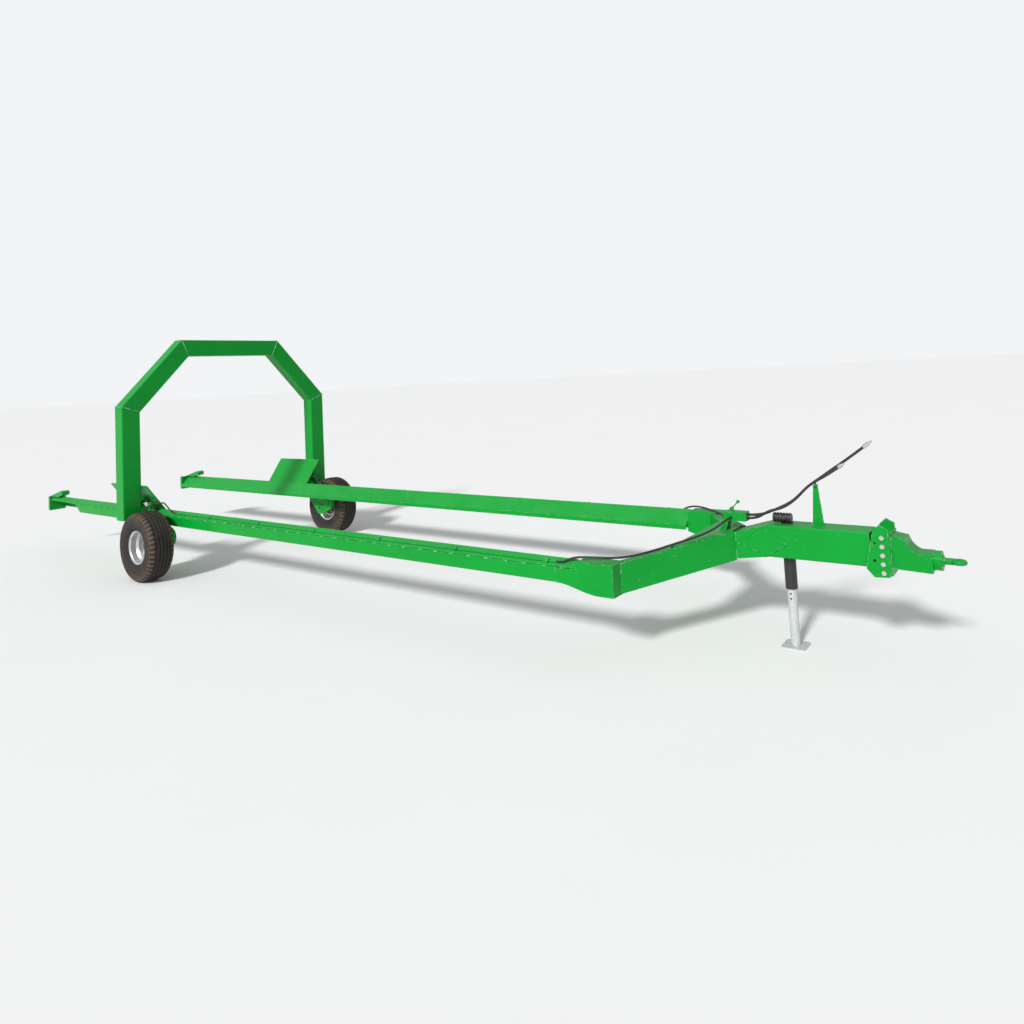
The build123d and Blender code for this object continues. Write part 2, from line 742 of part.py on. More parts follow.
half_tyre = tyre_width / 2
shoulder_r = tyre_r - 22
groove_depth = 11
groove_width = 12
bead_half = rim_half - 17
with BuildPart() as tyre:
    with BuildSketch(wheel_plane):
        with BuildLine():
            crown = ThreePointArc((-112, tyre_r - 8), (0, tyre_r), (112, tyre_r - 8))
            right_side = Spline(crown @ 1, (half_tyre - 12, shoulder_r - 14), (half_tyre, 322), (134, 236), (bead_half, 216))
            right_bead = Polyline(right_side @ 1, (bead_half, bead_r + 0.2), (bead_half - 24, bead_r + 0.2))
            inner = Spline(right_bead @ 1, (bead_half, 250), (half_tyre - 24, 322), (96, 400), (0, 408),
                           (-96, 400), (24 - half_tyre, 322), (-bead_half, 250), (24 - bead_half, bead_r + 0.2))
            left_bead = Polyline(inner @ 1, (-bead_half, bead_r + 0.2), (-bead_half, 216))
            Spline(left_bead @ 1, (-134, 236), (-half_tyre, 322), (12 - half_tyre, shoulder_r - 14), crown @ 0)
        make_face()
        with Locations(*[(y, tyre_r) for y in (-84, -42, 0, 42, 84)]):
            Rectangle(groove_width, 2 * groove_depth, mode=Mode.SUBTRACT)
    revolve(axis=wheel_axis)
save_pair(tyre, "tyre")

with BuildPart() as nuts:
    with BuildSketch(axle_plane(disc_y + disc_thick, axle_x, axle_z)):
        with PolarLocations(stud_circle, stud_count):
            RegularPolygon(nut_r, 6)
    extrude(amount=16)
    with BuildSketch(axle_plane(disc_y - hub_flange_thick, axle_x, axle_z)):
        with PolarLocations(stud_circle, stud_count):
            Circle(stud_r)
    extrude(amount=hub_flange_thick + disc_thick + 22)
save_pair(nuts, "wheel_nuts")

# ---- hitch --------------------------------------------------------------------------------------------------
bolt_heights = [bolt_low + index * bolt_pitch for index in range(bolt_count)]
plate_outline = [
    (bolt_x - 16, tongue_top + 68),
    (bolt_x + 46, tongue_top + 36),
    (bolt_x + 56, tongue_bottom - 6),
    (bolt_x + 38, tongue_bottom - 60),
    (bolt_x - 70, tongue_bottom - 67),
    (bolt_x - 126, tongue_bottom - 6),
    (bolt_x - 65, tongue_top + 22),
]
with BuildPart() as hitch_plates:
    with BuildSketch(lengthways(elbow_half + hitch_plate_thick)):
        with BuildLine():
            Polyline(*plate_outline, close=True)
        make_face()
        with Locations(*[(bolt_x, height) for height in bolt_heights]):
            Circle(bolt_r, mode=Mode.SUBTRACT)
        with Locations((bolt_x - 62, bolt_heights[1] + 20), (bolt_x - 54, bolt_heights[3] + 20)):
            Circle(bolt_r, mode=Mode.SUBTRACT)
    extrude(amount=hitch_plate_thick)
    mirror(about=Plane.XZ)
save(hitch_plates, "hitch_plates")

plate_face = elbow_half + hitch_plate_thick
with BuildPart() as bolts:
    for height in bolt_heights:
        disc(-plate_face - 14, plate_face + 8, bolt_x, height, bolt_r)
        for y_from in (-plate_face - 14, plate_face):
            with BuildSketch(axle_plane(y_from, bolt_x, height)):
                RegularPolygon(bolt_head_r, 6)
            extrude(amount=14)
save(bolts, "hitch_bolts")

head_points = [
    (head_step - 14, tongue_bottom),
    (head_front, tongue_bottom - 12),
    (head_front, eye_z + 54),
    (head_front - 90, eye_z + 54),
]
with BuildPart() as head:
    with BuildSketch(lengthways(elbow_half)):
        with Locations(((head_rear + head_step) / 2, (bolt_low - 25 + tongue_top - 2) / 2)):
            Rectangle(head_step - head_rear, tongue_top - 2 - bolt_low + 25)
    extrude(amount=tongue_width)
    with BuildSketch(lengthways(head_half)):
        with BuildLine():
            Polyline(*head_points)
            RadiusArc(head_points[-1], (head_front - 174, tongue_top - 38), 130)
            Polyline((head_front - 174, tongue_top - 38), (head_step - 14, tongue_top - 18), head_points[0])
        make_face()
    extrude(amount=2 * head_half)
    with BuildSketch(lengthways(head_half - head_wall)):
        with BuildLine():
            Polyline(
                (head_step, tongue_bottom - 60),
                (head_front - 2 * head_wall, tongue_bottom - 60),
                (head_front - 2 * head_wall, eye_z + 42),
                (head_front - 120, eye_z + 42),
                (head_front - 210, tongue_top - 62),
                (head_step, tongue_top - 50),
                close=True,
            )
        make_face()
    extrude(amount=2 * (head_half - head_wall), mode=Mode.SUBTRACT)
    with BuildSketch(Plane(origin=(head_front, 0, eye_z), x_dir=(0, 1, 0), z_dir=(1, 0, 0))):
        Circle(collar_r)
    extrude(amount=collar_front - head_front)
    with BuildSketch(Plane(origin=(collar_front, 0, eye_z), x_dir=(0, 1, 0), z_dir=(1, 0, 0))):
        Circle(shank_r + run_gap)
    extrude(amount=-(collar_front - head_front + 3 * head_wall), mode=Mode.SUBTRACT)
    for height in bolt_heights:
        bored(-elbow_half - 5, elbow_half + 5, bolt_x, height, bolt_r)
save(head, "hitch_head")

shank_rear = head_front - 2 * head_wall - 46
with BuildPart() as eye:
    with BuildSketch(Plane(origin=(shank_rear, 0, eye_z), x_dir=(0, 1, 0), z_dir=(1, 0, 0))):
        Circle(shank_r)
    extrude(amount=eye_x - eye_ring_r + 5 - shank_rear)
    with BuildSketch(Plane(origin=(collar_front + 0.5, 0, eye_z), x_dir=(0, 1, 0), z_dir=(1, 0, 0))):
        Circle(38)
    extrude(amount=10)
    with BuildSketch(Plane(origin=(eye_x, 0, eye_z), x_dir=(1, 0, 0), z_dir=(0, -1, 0))):
        with Locations((eye_ring_r, 0)):
            Circle(eye_section_r)
    revolve(axis=Axis((eye_x, 0, 0), (0, 0, 1)))
    with BuildSketch(Plane.XY.offset(eye_z - 2 * shank_r)):
        with Locations((eye_x, 0)):
            Circle(eye_bore_r)
    extrude(amount=4 * shank_r, mode=Mode.SUBTRACT)
save(eye, "towing_eye")

with BuildPart() as eye_nut:
    nut_front = head_front - 2 * head_wall - 0.5
    with BuildSketch(Plane(origin=(nut_front, 0, eye_z), x_dir=(0, 1, 0), z_dir=(1, 0, 0))):
        RegularPolygon(38, 6)
        Circle(shank_r, mode=Mode.SUBTRACT)
    extrude(amount=-36)
save(eye_nut, "eye_nut")

# ---- jack ---------------------------------------------------------------------------------------------------
with BuildPart() as jack_tube:
    with BuildSketch(Plane.XY.offset(jack_tube_bottom)):
        with Locations((jack_x, 0)):
            Circle(jack_out_r)
    extrude(amount=jack_tube_top - jack_tube_bottom)
    with BuildSketch(Plane.XY.offset(jack_tube_bottom)):
        with Locations((jack_x, 0)):
            Circle(jack_leg_r + run_gap)
    extrude(amount=jack_tube_top - jack_tube_bottom - 12, mode=Mode.SUBTRACT)
save(jack_tube, "jack_outer_tube")

with BuildPart() as jack_leg:
    with BuildSketch(Plane.XY):
        with Locations((jack_x, 0)):
            RectangleRounded(foot_size, foot_size, 30)
    extrude(amount=foot_thick)
    with BuildSketch(Plane.XY.offset(foot_thick)):
        with Locations((jack_x, 0)):
            Circle(jack_leg_r)
            Circle(jack_leg_r - 7, mode=Mode.SUBTRACT)
    extrude(amount=jack_leg_top - foot_thick)
    for height in (jack_tube_bottom - 38, jack_tube_bottom - 78):
        bored(-80, 80, jack_x, height, 8)
save(jack_leg, "jack_inner_leg")

rib_count = 6
rib_pitch = jack_head_length / rib_count
head_base = jack_x - 110
with BuildPart() as jack_head:
    with BuildSketch(across(head_base)):
        with Locations((0, jack_tube_top + jack_head_r)):
            Circle(jack_head_r)
    extrude(amount=jack_head_length)
    for index in range(rib_count):
        with BuildSketch(across(head_base + (index + 0.3) * rib_pitch)):
            with Locations((0, jack_tube_top + jack_head_r)):
                Circle(jack_head_r + 5)
        extrude(amount=0.4 * rib_pitch)
    with BuildSketch(Plane.XY.offset(jack_tube_top - 20)):
        with Locations((jack_x, 0)):
            Rectangle(400, 400)
    extrude(amount=20, mode=Mode.SUBTRACT)
save(jack_head, "jack_head")

# ---- rail pipes and clamps ----------------------------------------------------------------------------------
strip_up = (Vector(0, ridge_y, ridge_z) - Vector(0, *strip_outer)).normalized()
strip_normal = Vector(0, strip_up.Z, -strip_up.Y)
pipe_seat = Vector(0, *strip_outer) + strip_up * 38
pipe_centre = pipe_seat + strip_normal * pipe_r
with BuildPart() as pipe:
    with BuildSketch(across(pipe_rear)):
        with Locations((pipe_centre.Y, pipe_centre.Z)):
            Circle(pipe_r)
            Circle(pipe_r - 2.5, mode=Mode.SUBTRACT)
    extrude(amount=pipe_front - pipe_rear)
save_pair(pipe, "rail_pipe")

clamp_pitch = (pipe_front - pipe_rear - 900) / (clamp_count - 1)
with BuildPart() as clamps:
    for index in range(clamp_count):
        clamp_x = pipe_rear + 800 + index * clamp_pitch
        seat = Plane(origin=(clamp_x, pipe_centre.Y, pipe_centre.Z), x_dir=strip_up, z_dir=(1, 0, 0))
        with BuildSketch(seat):
            with Locations((0, -2.5)):
                RectangleRounded(36, 2 * pipe_r + 5, 2)
            Circle(pipe_r, mode=Mode.SUBTRACT)
            Rectangle(2 * pipe_r, 2 * pipe_r, align=(Align.CENTER, Align.MIN), mode=Mode.SUBTRACT)
        extrude(amount=clamp_length)
    mirror(about=Plane.XZ)
save(clamps, "pipe_clamps")

# ---- valve block on its foot, and its lever -----------------------------------------------------------------
foot_lift = gusset_thick / cos(atan2(leg_rise, leg_dx))


def gusset_top(x):
    """Height of the gusset plate's upper face at x."""
    return leg_top_z + (x - post_front) * top_slope + foot_lift


valve_half = 50
foot_rear = gusset_rear + 150
foot_front = gusset_rear + 215
valve_points = [
    (foot_rear, gusset_top(foot_rear)),
    (foot_front, gusset_top(foot_front)),
    (foot_front + 25, valve_low),
    (valve_front, valve_low),
    (valve_front, valve_top),
    (valve_rear, valve_top),
    (valve_rear, valve_low - 20),
]
turret_x = valve_rear + 60
turret_z = valve_top + 22
with BuildPart() as valve:
    with BuildSketch(lengthways(valve_half)):
        with BuildLine():
            Polyline(*valve_points, close=True)
        make_face()
    extrude(amount=2 * valve_half)
    for ear_y in (-8, 18):
        with BuildSketch(lengthways(ear_y)):
            with Locations((turret_x, turret_z)):
                Circle(14)
            with Locations((turret_x, turret_z - 11)):
                Rectangle(28, 22)
        extrude(amount=10)
    disc(-18, 18, turret_x, turret_z, lever_pin_r)
save(valve, "valve_block")

knob_x = turret_x + 62
knob_z = turret_z + 62
with BuildPart() as lever:
    disc(-7.5, 7.5, turret_x, turret_z, 12)
    with BuildSketch(Plane(origin=(turret_x, 0, turret_z), z_dir=(1, 0, 1))):
        Circle(5)
    extrude(amount=hypot(knob_x - turret_x, knob_z - turret_z))
    with Locations((knob_x, 0, knob_z)):
        Sphere(15)
    bored(-10, 10, turret_x, turret_z, lever_pin_r + run_gap)
save(lever, "valve_lever")

# ---- black hoses from the rail pipes over the posts and legs to the valve -----------------------------------
feed_route = [
    (pipe_front, pipe_centre.Y, pipe_centre.Z),
    (pipe_front + 62, pipe_centre.Y, pipe_centre.Z),
    (pipe_front + 125, rail_out - 32, ridge_z + 5),
    (pipe_front + 195, rail_out - 40, ridge_z + 25),
    (pipe_front + 275, rail_out - 60, ridge_z + 29),
    (pipe_front + 362, rail_out - 96, ridge_z + 26),
    (post_front - 98, rail_out - 148, leg_top_z + 26),
    (post_front + 20, rail_out - 240, leg_top_z + 25),
    (post_front + 140, rail_out - 415, leg_top_z + 42),
    (kink_x - 350, elbow_half + 450, leg_top_z + 72),
    (kink_x - 235, elbow_half + 272, leg_top_z + 98),
    (kink_x - 145, elbow_half + 125, leg_top_z + 134),
    (kink_x - 60, elbow_half + 10, tongue_top + 30),
    (kink_x - 60, valve_half, tongue_top + 30),
]
save_pair(swept_hose(feed_route, hose_r, "feed hose"), "feed_hose")

# ---- short hoses that loop from the pipes' rear ends to the cylinders ---------------------------------------
cylinder_route = [
    (pipe_rear, pipe_centre.Y, pipe_centre.Z),
    (pipe_rear - 70, pipe_centre.Y, pipe_centre.Z),
    (pipe_rear - 140, rail_out - 20, pipe_centre.Z + 42),
    (pipe_rear - 190, rail_out, pipe_centre.Z + 101),
    (pipe_rear - 245, port_y - 2, pipe_centre.Z + 138),
    (pipe_rear - 312, port_y - 1, pipe_centre.Z + 122),
    (pipe_rear - 385, port_y - 1, port_z + 1),
    (pipe_rear - 490, port_y, port_z - 3),
    (pipe_rear - 595, port_y, port_z),
    (port_x, port_y, port_z),
]
save_pair(swept_hose(cylinder_route, hose_r, "cylinder hose"), "cylinder_hose")

# ---- supply hoses over the stand, and their couplers --------------------------------------------------------
upper_route = [
    (valve_front, 16, valve_top - 25),
    (valve_front + 105, 16, valve_top - 25),
    (jack_x - 90, 15, valve_top + 35),
    (jack_x + 60, 14, valve_top + 110),
    (stand_x - 75, 14, stand_top - 26),
    (stand_x + 12, 14, stand_top + 33),
    (stand_x + 130, 15, stand_top + 118),
    (stand_x + 262, 17, stand_top + 210),
    (stand_x + 390, 18, stand_top + 306),
]
lower_route = [
    (valve_front, -16, valve_top - 48),
    (valve_front + 85, -16, valve_top - 48),
    (jack_x - 148, -15, valve_top + 24),
    (jack_x - 30, -14, valve_top + 52),
    (jack_x + 85, -14, valve_top + 128),
    (stand_x - 72, -14, stand_top - 26),
    (stand_x + 10, -14, stand_top + 31),
    (stand_x + 100, -15, stand_top + 80),
    (stand_x + 195, -17, stand_top + 146),
]
save(swept_hose(upper_route, supply_r, "upper supply hose"), "supply_hose_upper")
save(swept_hose(lower_route, supply_r, "lower supply hose"), "supply_hose_lower")

with BuildPart() as couplers:
    for route, length in ((upper_route, 80), (lower_route, 55)):
        tip = Vector(*route[-1])
        heading = tip - Vector(*route[-2])
        with BuildSketch(Plane(origin=tip, z_dir=heading)):
            Circle(supply_r + 5)
        extrude(amount=length * 0.6)
        with BuildSketch(Plane(origin=tip, z_dir=heading)):
            Circle(supply_r - 2)
        extrude(amount=length)
save(couplers, "hose_couplers")

# ---- hose stand: a tapered upright with a cradle ------------------------------------------------------------
stand_thick = 12
cradle_half = 32
stand_points = [
    (stand_x - 46, tongue_top),
    (stand_x + 46, tongue_top),
    (stand_x + 15, stand_top - 10),
    (stand_x - 20, stand_top - 10),
]
with BuildPart() as stand:
    with BuildSketch(lengthways(stand_thick / 2)):
        with BuildLine():
            Polyline(*stand_points, close=True)
        make_face()
    extrude(amount=stand_thick)
    with BuildSketch(lengthways(cradle_half)):
        with Locations((stand_x - 2, stand_top - 9)):
            Rectangle(26, 10)
    extrude(amount=2 * cradle_half)
    with BuildSketch(lengthways(2)):
        with Locations((stand_x - 2, stand_top + 12)):
            Rectangle(14, 50)
    extrude(amount=4)
save(stand, "hose_stand")
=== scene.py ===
# %% [markdown]
# This carrier picks square bales up from a field and carries them in a row between two long rails.
# We load its solid model first. It is already in metres, so nothing here has to be fitted or scaled.

# %% Load the frame
import math
import bmesh
import bpy
from mathutils import Matrix, Vector


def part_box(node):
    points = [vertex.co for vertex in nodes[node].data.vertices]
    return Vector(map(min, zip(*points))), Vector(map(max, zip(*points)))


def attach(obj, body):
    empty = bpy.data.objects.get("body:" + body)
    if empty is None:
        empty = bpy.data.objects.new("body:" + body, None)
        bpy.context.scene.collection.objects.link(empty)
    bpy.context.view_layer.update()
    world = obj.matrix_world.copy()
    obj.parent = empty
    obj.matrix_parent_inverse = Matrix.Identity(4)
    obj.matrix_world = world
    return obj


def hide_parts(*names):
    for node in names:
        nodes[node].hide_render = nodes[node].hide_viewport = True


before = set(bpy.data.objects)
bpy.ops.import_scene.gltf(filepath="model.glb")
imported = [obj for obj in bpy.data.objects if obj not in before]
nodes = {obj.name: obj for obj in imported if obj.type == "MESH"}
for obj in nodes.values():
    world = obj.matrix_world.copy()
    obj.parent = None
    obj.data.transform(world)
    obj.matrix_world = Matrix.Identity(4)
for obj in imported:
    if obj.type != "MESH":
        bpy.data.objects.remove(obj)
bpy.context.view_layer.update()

# %% [markdown]
# The camera could be aimed by hand, but a matrix built from heading, pitch and roll is exact and easy
# to read. The lens is wide, because the machine is nearly thirteen metres long and we stand near its hitch.

# %% Camera
standing_place = (7.135, -6.048, 2.357)
heading, pitch, roll = math.radians(124.59), math.radians(3.51), math.radians(-3.17)
ahead = Vector((math.cos(pitch) * math.cos(heading), math.cos(pitch) * math.sin(heading), math.sin(pitch)))
level_right = ahead.cross(Vector((0, 0, 1))).normalized()
level_up = level_right.cross(ahead)
right = level_right * math.cos(roll) + level_up * math.sin(roll)
up = level_up * math.cos(roll) - level_right * math.sin(roll)
lens = bpy.data.cameras.new("camera")
lens.lens, lens.sensor_width = 25.17, 36
lens.shift_x, lens.shift_y = -0.0469, -0.178
camera = bpy.data.objects.new("camera", lens)
bpy.context.scene.collection.objects.link(camera)
turned = Matrix((right, up, -ahead)).transposed().to_4x4()
camera.matrix_world = Matrix.Translation(standing_place) @ turned
bpy.context.scene.camera = camera
print("camera at", [round(v, 2) for v in camera.matrix_world.translation])

# %% [markdown]
# The hydraulic hoses are rubber tubes of one thickness. Each is a single smooth NURBS spline through
# the points of its route, given a round section by the curve's bevel, so that it bends as rubber does.
# The bevel is 1 and each point's radius carries the real one: Blender adds a point's radius to the curve's
# bounding box, so with the usual radius of 1 each hose's box would reach a metre past the hose.

# %% A hose from its route
def hose(name, route, radius):
    curve = bpy.data.curves.new(name, "CURVE")
    curve.dimensions = "3D"
    curve.bevel_depth, curve.bevel_resolution, curve.use_fill_caps = 1, 6, True
    spline = curve.splines.new("NURBS")
    spline.points.add(len(route) - 1)
    for point, place in zip(spline.points, route):
        point.co, point.radius = (*place, 1), radius
    spline.order_u, spline.use_endpoint_u, spline.resolution_u = 3, True, 12
    piece = bpy.data.objects.new(name, curve)
    bpy.context.scene.collection.objects.link(piece)
    return piece


def spline_length(piece):
    bare = piece.data.copy()
    bare.bevel_depth = 0
    probe = bpy.data.objects.new("probe", bare)
    bpy.context.scene.collection.objects.link(probe)
    mesh = bpy.data.meshes.new_from_object(probe.evaluated_get(bpy.context.evaluated_depsgraph_get()))
    run = [v.co.copy() for v in mesh.vertices]
    bpy.data.objects.remove(probe)
    return sum((a - b).length for a, b in zip(run, run[1:]))


print("a hose is a NURBS spline of order 3 that starts and ends at its ports")

# %% [markdown]
# A hose leaves its port straight, bends by its own stiffness, and lies on what it crosses. The routes below
# go from each rail's pipe over the corner of the frame to the valve, from the pipe's rear end to the lift
# cylinder, and from the valve over a stand to the couplers. The machine is symmetrical, so the right-hand
# hoses are the left-hand ones mirrored.

# %% Hose routes
hose_radius, supply_radius = 0.009, 0.011
feed_route = [
    (3.59, 1.1473, 0.805), (3.652, 1.1473, 0.805), (3.715, 1.145, 0.837),
    (3.785, 1.137, 0.857), (3.865, 1.117, 0.861), (3.952, 1.081, 0.858),
    (4.047, 1.029, 0.85), (4.165, 0.937, 0.849), (4.285, 0.762, 0.866),
    (4.405, 0.575, 0.896), (4.52, 0.397, 0.922), (4.61, 0.25, 0.958),
    (4.695, 0.135, 1.032), (4.695, 0.05, 1.032),
]
cylinder_route = [
    (-2.525, 1.1473, 0.805), (-2.595, 1.1473, 0.805), (-2.665, 1.157, 0.847),
    (-2.715, 1.177, 0.906), (-2.77, 1.186, 0.943), (-2.837, 1.187, 0.927),
    (-2.91, 1.187, 0.9061), (-3.015, 1.188, 0.9021), (-3.12, 1.188, 0.9051),
    (-3.215, 1.188, 0.9051),
]
upper_route = [
    (4.825, 0.016, 1.05), (4.93, 0.016, 1.05), (5.075, 0.015, 1.11),
    (5.225, 0.014, 1.185), (5.348, 0.014, 1.311), (5.435, 0.014, 1.37),
    (5.553, 0.015, 1.455), (5.685, 0.017, 1.547), (5.813, 0.018, 1.643),
]
lower_route = [
    (4.825, -0.016, 1.027), (4.91, -0.016, 1.027), (5.017, -0.015, 1.099),
    (5.135, -0.014, 1.127), (5.25, -0.014, 1.203), (5.351, -0.014, 1.311),
    (5.433, -0.014, 1.368), (5.523, -0.015, 1.417), (5.618, -0.017, 1.483),
]


def mirrored(route):
    return [(x, -y, z) for x, y, z in route]


print("four routes of", [len(r) for r in (feed_route, cylinder_route, upper_route, lower_route)], "points")

# %% [markdown]
# Each curve takes the place of its solid hose, and its length is measured. The two supply hoses end in the
# couplers, and the others end in the machine.

# %% Make the hoses
plans = []
for side, turn in (("left", list), ("right", mirrored)):
    for kind, route in (("feed", feed_route), ("cylinder", cylinder_route)):
        plans.append((f"{side}_{kind}_line", f"{side}_{kind}_hose", turn(route), hose_radius, "object"))
for kind, route in (("upper", upper_route), ("lower", lower_route)):
    plans.append((f"supply_line_{kind}", f"supply_hose_{kind}", route, supply_radius, "fitting"))

hoses = []
for name, node, route, radius, end in plans:
    piece = hose(name, route, radius)
    hoses.append(piece)
    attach(piece, "frame")
    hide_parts(node)
    length = spline_length(piece)
    with_couplers = [nodes["hose_couplers"]] if end == "fitting" else []
    2 * radius
    print(piece.name, "length", round(length, 3), "m")

# %% [markdown]
# The parts of the frame are joined by arc welds. A weld is a row of small overlapping ripples half sunk in
# the corner it fills. One mesh helper sweeps a rippled round section along a line, which is quicker to
# adjust than modelling each ripple, and it gives a true raised bead that catches the light. Sine waves make
# the bead wander and swell a little, as a hand-held torch does, and give the same bead on every run.

# %% Weld beads
ripple = 0.009
sides = 8


def bead(mesh, start, end, size):
    start, end = Vector(start), Vector(end)
    along = (end - start).normalized()
    side = along.orthogonal().normalized()
    other = along.cross(side)
    steps = max(8, int((end - start).length / ripple * 3))
    rings = []
    for i in range(steps + 1):
        share = i / steps
        swell = 0.78 + 0.22 * abs(math.sin(math.pi * share * steps / 3))
        swell += 0.1 * math.sin(share * 47 + start.x * 9)
        swell *= min(1, 0.45 + 6 * min(share, 1 - share))
        centre = start.lerp(end, share) + side * (0.12 * size * math.sin(share * 31 + start.z * 7))
        ring = []
        for j in range(sides):
            turn = math.tau * j / sides
            outward = side * math.cos(turn) + other * math.sin(turn)
            ring.append(mesh.verts.new(centre + outward * size * swell))
        rings.append(ring)
    for a, b in zip(rings, rings[1:]):
        for j in range(sides):
            mesh.faces.new((a[j], a[(j + 1) % sides], b[(j + 1) % sides], b[j]))
    mesh.faces.new(reversed(rings[0]))
    mesh.faces.new(rings[-1])


def weld_piece(name, lines, size):
    mesh = bmesh.new()
    for start, end in lines:
        bead(mesh, start, end, size)
    bmesh.ops.recalc_face_normals(mesh, faces=mesh.faces)
    data = bpy.data.meshes.new(name)
    mesh.to_mesh(data)
    mesh.free()
    for face in data.polygons:
        face.use_smooth = True
    piece = bpy.data.objects.new(name, data)
    bpy.context.scene.collection.objects.link(piece)
    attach(piece, "frame")
    print(name, "has", len(lines), "beads")
    return piece


print("a bead has a ripple every", ripple * 1000, "mm and", sides, "sides")

# %% [markdown]
# A folded strip carries the bales along the top of each rail. It is held by short welds with gaps between
# them, because one long weld would pull the rail out of straight. We step along the rail from its own box.

# %% Stitch welds where each strip sits on its rail
stitch_length, stitch_pitch = 0.055, 0.21
first_stitch, last_stitch = 0.12, 0.1
rail_low, rail_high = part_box("left_rail_beam")
stitches = []
for side in (1, -1):
    x = rail_low[0] + first_stitch
    while x < rail_high[0] - last_stitch:
        edge = side * (rail_high[1] - 0.006)
        stitches.append(((x, edge, rail_high[2]), (x + stitch_length, edge, rail_high[2])))
        x += stitch_pitch
stitch_welds = weld_piece("stitch_welds", stitches, 0.0045)

# %% [markdown]
# The arch is five lengths of square tube cut to a mitre and welded all round. The tube's boxes give the
# outer corners of each joint, and the slope of the brace gives the inner ones.

# %% Welds round the arch's four mitres
leg_low, leg_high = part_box("left_arch_leg")
brace_low, brace_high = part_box("arch_braces")
beam_low, beam_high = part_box("arch_top_beam")
slope = math.atan2(beam_high[2] - leg_high[2], leg_high[1] - beam_high[1])
inner_y = beam_high[1] - (beam_high[2] - beam_low[2]) * math.tan(slope / 2)
sunk = 0.001
mitres = []
for side in (1, -1):
    for x in (beam_low[0], beam_high[0]):
        mitres.append(((x, side * leg_high[1], leg_high[2]), (x, side * leg_low[1], brace_low[2])))
        mitres.append(((x, side * beam_high[1], beam_high[2]), (x, side * inner_y, beam_low[2])))
    for y, z in ((leg_high[1] - sunk, leg_high[2]), (beam_high[1], beam_high[2] - sunk)):
        mitres.append(((beam_low[0], side * y, z), (beam_high[0], side * y, z)))
arch_welds = weld_piece("arch_welds", mitres, 0.005)

# %% [markdown]
# Every finish is a small network of shader nodes. Written one node at a time they are long and hard to
# read, so a class wraps a socket and lets us write sums with it: 1 - mask adds a Subtract node. Its method
# make() adds any other node from its kind, its settings and the values or links of its sockets.

# %% Shader expressions
class Wire:
    def __init__(self, tree, socket):
        self.tree, self.socket = tree, socket

    def make(self, kind, settings=None, inputs=None, output=0):
        node = self.tree.nodes.new(kind)
        stops = (settings or {}).pop("stops", None)
        for key, value in (settings or {}).items():
            setattr(node, key, value)
        if stops:
            ramp = node.color_ramp
            while len(ramp.elements) < len(stops):
                ramp.elements.new(0.5)
            for element, (place, tone) in zip(ramp.elements, stops):
                element.position, element.color = place, (tone, tone, tone, 1)
        for key, value in (inputs or {}).items():
            if isinstance(value, Wire):
                self.tree.links.new(value.socket, node.inputs[key])
            elif value is not None:
                node.inputs[key].default_value = value
        return Wire(self.tree, node.outputs[output])

    def maths(self, operation, a, b=0.0):
        return self.make("ShaderNodeMath", {"operation": operation}, {0: a, 1: b})

    def __add__(self, other): return self.maths("ADD", self, other)
    def __radd__(self, other): return self.maths("ADD", other, self)
    def __sub__(self, other): return self.maths("SUBTRACT", self, other)
    def __rsub__(self, other): return self.maths("SUBTRACT", other, self)
    def __mul__(self, other): return self.maths("MULTIPLY", self, other)
    def __rmul__(self, other): return self.maths("MULTIPLY", other, self)
    def __truediv__(self, other): return self.maths("DIVIDE", self, other)
    def __rtruediv__(self, other): return self.maths("DIVIDE", other, self)


print("wires can be added, subtracted, multiplied and divided")

# %% [markdown]
# The finishes share a few patterns. Noise breaks up every even surface, a ramp turns a pattern into a mask,
# and a tint mixes two colours by a mask. Worn edges come from comparing the true normal with one that is
# rounded off: they differ only near an edge. Faces whose normal points up get dust and a painted sheen.

# %% Patterns that the finishes share
def noise(wire, place, scale, detail=4.0, rough=0.55):
    inputs = {"Vector": place, "Scale": scale, "Detail": detail, "Roughness": rough}
    return wire.make("ShaderNodeTexNoise", None, inputs)


def ramp(wire, value, *stops):
    return wire.make("ShaderNodeValToRGB", {"stops": stops}, {"Fac": value})


def tint(wire, share, low, high):
    def colour(c):
        return c if isinstance(c, Wire) else (*c, 1)
    return wire.make("ShaderNodeMix", {"data_type": "RGBA"}, {0: share, 6: colour(low), 7: colour(high)}, 2)


def worn_edge(wire, radius):
    """About 1 where the surface turns within radius of a point, such as at an edge, and 0 on a flat."""
    round_normal = wire.make("ShaderNodeBevel", {"samples": 4}, {"Radius": radius})
    true_normal = wire.make("ShaderNodeNewGeometry", None, None, "True Normal")
    normals = {0: round_normal, 1: true_normal}
    alike = wire.make("ShaderNodeVectorMath", {"operation": "DOT_PRODUCT"}, normals, 1)
    return ramp(wire, 1 - alike, (0.01, 0), (0.12, 1))


def facing_up(wire):
    normal = wire.make("ShaderNodeNewGeometry", None, None, "Normal")
    return wire.make("ShaderNodeSeparateXYZ", None, {0: normal}, 2)


print("patterns: noise, ramp, tint, worn edge, facing up")

# %% [markdown]
# A finish is then a function that returns what to plug into the shader. Height is a pattern, how strongly it
# shows, and its depth in metres; the pattern becomes a bump. The patterns follow the object's own
# coordinates, so they stay with each piece when it moves.

